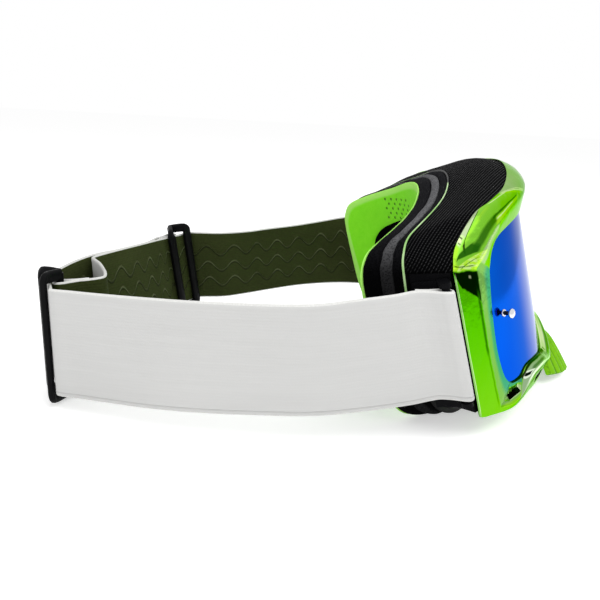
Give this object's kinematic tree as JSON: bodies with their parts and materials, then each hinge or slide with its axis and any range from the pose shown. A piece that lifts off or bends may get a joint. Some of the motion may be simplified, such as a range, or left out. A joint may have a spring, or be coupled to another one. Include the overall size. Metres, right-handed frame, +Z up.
{
  "type": "motocross goggles",
  "caption": "Off-road riding goggles: one-piece curved lens in a framed surround, layered face foam, ribbed nose guard and a wide elastic strap with two sliding adjusters.",
  "frame": {"origin": "middle of the overall length and width, on the table plane under the goggles", "axes": "-Y is the way the lens looks, +Y runs back to the strap's rear, +Z is up, -X is the wearer's right"},
  "size_m": [0.1964, 0.2564, 0.1093],
  "materials": {
    "frame_green": "mirror bright green metallised coat",
    "lens_blue": "blue mirror coat on clear polycarbonate",
    "chassis_black": "satin black flexible plastic",
    "flange_pale": "pale green flexible plastic",
    "gasket_black": "black closed-cell foam",
    "post_metal": "bright turned metal",
    "guard_lime": "lime flexible plastic with upright ribs",
    "mesh_black": "black woven mesh with rows of holes",
    "foam_black": "black open-cell foam",
    "foam_grey": "dark grey open-cell foam",
    "fleece_lime": "lime fleece, perforated at the temple",
    "strap_webbing": "elastic webbing, white outside, dark olive with raised wavy rows inside",
    "hardware_black": "satin black moulded plastic"
  },
  "bodies": {
    "goggles": {"outer_frame": "frame_green", "face_chassis": "chassis_black", "face_flange": "flange_pale", "lens": "lens_blue", "lens_gasket": "gasket_black", "tear_off_post_right": "post_metal", "tear_off_post_left": "post_metal", "post_washer_right": "gasket_black", "post_washer_left": "gasket_black", "brow_vent_mesh": "mesh_black", "temple_vent_mesh_right": "mesh_black", "temple_vent_mesh_left": "mesh_black", "foam_backing": "foam_black", "foam_base": "foam_grey", "foam_core": "foam_black", "face_fleece": "fleece_lime", "strap_anchor_right": "hardware_black", "strap_anchor_left": "hardware_black", "strap_right": "strap_webbing", "strap_right_end": "strap_webbing", "strap_left": "strap_webbing", "strap_left_end": "strap_webbing"},
    "nose_guard": {"nose_guard": "guard_lime"},
    "slider_right": {"slider_right": "hardware_black"},
    "slider_left": {"slider_left": "hardware_black"}
  },
  "joints": [
    {"name": "slider_right_slide", "type": "slide", "parent": "goggles", "child": "slider_right", "axis": [0.9026, 0.43, -0.0218], "range_m": [-0.006, 0.008], "deforming": ["strap_left_end"]},
    {"name": "slider_left_slide", "type": "slide", "parent": "goggles", "child": "slider_left", "axis": [-0.866, 0.4994, -0.0253], "range_m": [-0.006, 0.008], "deforming": ["strap_right_end"]},
    {"name": "nose_guard_pull", "type": "slide", "parent": "goggles", "child": "nose_guard", "axis": [0, -0.2907, -0.9568], "range_m": [0, 0.008]}
  ]
}
